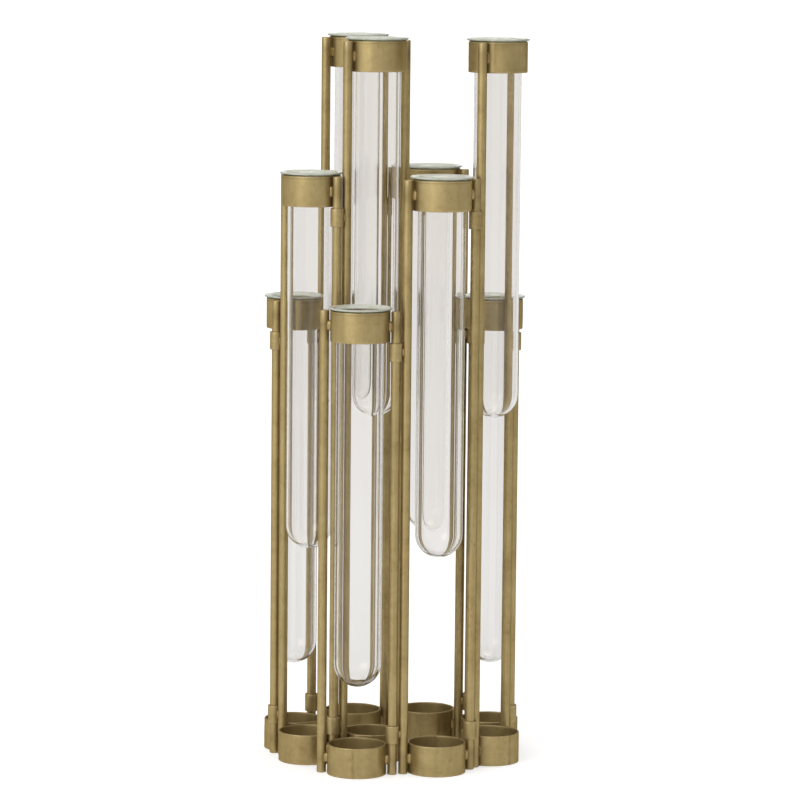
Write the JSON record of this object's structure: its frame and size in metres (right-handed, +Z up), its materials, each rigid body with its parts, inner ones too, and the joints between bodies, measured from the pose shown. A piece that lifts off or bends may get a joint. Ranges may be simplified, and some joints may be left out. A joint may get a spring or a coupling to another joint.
{
  "type": "folding glass tube vase",
  "caption": "Free-standing folding vase: a curled row of hinged brass-finished frames of rings and rods, each with a loose round-bottomed glass tube for flower stems.",
  "frame": {"origin": "on the standing surface under the middle of the curled row's plan box", "axes": "+X to the right in the picture, +Y away from its viewer, +Z up along the rods and tubes"},
  "size_m": [0.1396, 0.1296, 0.3848],
  "materials": {
    "ring_metal": "satin antique brass strip",
    "rod_metal": "satin antique brass rod",
    "joint_metal": "brazed antique brass",
    "tube_glass": "clear polished glass"
  },
  "bodies": {
    "frame_1": {"foot_ring_1": "ring_metal", "collar_1": "ring_metal", "first_rod_1": "rod_metal", "second_rod_1": "rod_metal", "joining_blocks_1": "joint_metal", "hinge_knuckles_1": "joint_metal"},
    "tube_1": {"glass_tube_1": "tube_glass"},
    "frame_2": {"foot_ring_2": "ring_metal", "collar_2": "ring_metal", "first_rod_2": "rod_metal", "second_rod_2": "rod_metal", "joining_blocks_2": "joint_metal", "hinge_knuckles_2": "joint_metal"},
    "tube_2": {"glass_tube_2": "tube_glass"},
    "frame_3": {"foot_ring_3": "ring_metal", "collar_3": "ring_metal", "first_rod_3": "rod_metal", "second_rod_3": "rod_metal", "joining_blocks_3": "joint_metal"},
    "tube_3": {"glass_tube_3": "tube_glass"},
    "frame_4": {"foot_ring_4": "ring_metal", "collar_4": "ring_metal", "first_rod_4": "rod_metal", "second_rod_4": "rod_metal", "joining_blocks_4": "joint_metal", "hinge_knuckles_4": "joint_metal"},
    "tube_4": {"glass_tube_4": "tube_glass"},
    "frame_5": {"foot_ring_5": "ring_metal", "collar_5": "ring_metal", "first_rod_5": "rod_metal", "second_rod_5": "rod_metal", "joining_blocks_5": "joint_metal", "hinge_knuckles_5": "joint_metal"},
    "tube_5": {"glass_tube_5": "tube_glass"},
    "frame_6": {"foot_ring_6": "ring_metal", "collar_6": "ring_metal", "first_rod_6": "rod_metal", "second_rod_6": "rod_metal", "joining_blocks_6": "joint_metal"},
    "tube_6": {"glass_tube_6": "tube_glass"},
    "frame_7": {"foot_ring_7": "ring_metal", "collar_7": "ring_metal", "first_rod_7": "rod_metal", "second_rod_7": "rod_metal", "joining_blocks_7": "joint_metal", "hinge_knuckles_7": "joint_metal"},
    "tube_7": {"glass_tube_7": "tube_glass"},
    "frame_8": {"foot_ring_8": "ring_metal", "collar_8": "ring_metal", "first_rod_8": "rod_metal", "second_rod_8": "rod_metal", "joining_blocks_8": "joint_metal", "hinge_knuckles_8": "joint_metal"},
    "tube_8": {"glass_tube_8": "tube_glass"},
    "frame_9": {"foot_ring_9": "ring_metal", "collar_9": "ring_metal", "first_rod_9": "rod_metal", "second_rod_9": "rod_metal", "joining_blocks_9": "joint_metal"},
    "tube_9": {"glass_tube_9": "tube_glass"}
  },
  "joints": [
    {"name": "hinge_5_6", "type": "hinge", "parent": "frame_5", "child": "frame_6", "pos_m": [0.04232, 0.03975, 0], "axis": [0, 0, 1], "range_deg": [0, 94]},
    {"name": "hinge_6_7", "type": "hinge", "parent": "frame_6", "child": "frame_7", "pos_m": [0.0641, 0.00922, 0], "axis": [0, 0, 1], "range_deg": [0, 90]},
    {"name": "hinge_7_8", "type": "hinge", "parent": "frame_7", "child": "frame_8", "pos_m": [0.04192, -0.03526, 0], "axis": [0, 0, 1], "range_deg": [0, 103]},
    {"name": "hinge_8_9", "type": "hinge", "parent": "frame_8", "child": "frame_9", "pos_m": [0.00108, -0.05053, 0], "axis": [0, 0, 1], "range_deg": [0, 87]},
    {"name": "hinge_4_5", "type": "hinge", "parent": "frame_5", "child": "frame_4", "pos_m": [0.00135, 0.05466, 0], "axis": [0, 0, -1], "range_deg": [0, 105]},
    {"name": "hinge_3_4", "type": "hinge", "parent": "frame_4", "child": "frame_3", "pos_m": [-0.04369, 0.03365, 0], "axis": [0, 0, -1], "range_deg": [0, 34.5]},
    {"name": "hinge_2_3", "type": "hinge", "parent": "frame_3", "child": "frame_2", "pos_m": [-0.06273, 0.00134, 0], "axis": [0, 0, -1], "range_deg": [0, 78.5]},
    {"name": "hinge_1_2", "type": "hinge", "parent": "frame_2", "child": "frame_1", "pos_m": [-0.03033, -0.02783, 0], "axis": [0, 0, -1], "range_deg": [0, 78.5]},
    {"name": "lift_1", "type": "slide", "parent": "frame_1", "child": "tube_1", "axis": [0, 0, 1], "range_m": [0, 0.205]},
    {"name": "lift_2", "type": "slide", "parent": "frame_2", "child": "tube_2", "axis": [0, 0, 1], "range_m": [0, 0.205]},
    {"name": "lift_3", "type": "slide", "parent": "frame_3", "child": "tube_3", "axis": [0, 0, 1], "range_m": [0, 0.205]},
    {"name": "lift_4", "type": "slide", "parent": "frame_4", "child": "tube_4", "axis": [0, 0, 1], "range_m": [0, 0.205]},
    {"name": "lift_5", "type": "slide", "parent": "frame_5", "child": "tube_5", "axis": [0, 0, 1], "range_m": [0, 0.205]},
    {"name": "lift_6", "type": "slide", "parent": "frame_6", "child": "tube_6", "axis": [0, 0, 1], "range_m": [0, 0.205]},
    {"name": "lift_7", "type": "slide", "parent": "frame_7", "child": "tube_7", "axis": [0, 0, 1], "range_m": [0, 0.205]},
    {"name": "lift_8", "type": "slide", "parent": "frame_8", "child": "tube_8", "axis": [0, 0, 1], "range_m": [0, 0.205]},
    {"name": "lift_9", "type": "slide", "parent": "frame_9", "child": "tube_9", "axis": [0, 0, 1], "range_m": [0, 0.205]}
  ],
  "couplings": [
    {"joint": "hinge_3_4", "follows": "hinge_6_7", "ratio": 0.383},
    {"joint": "hinge_2_3", "follows": "hinge_6_7", "ratio": 0.872},
    {"joint": "hinge_1_2", "follows": "hinge_6_7", "ratio": 0.872}
  ]
}
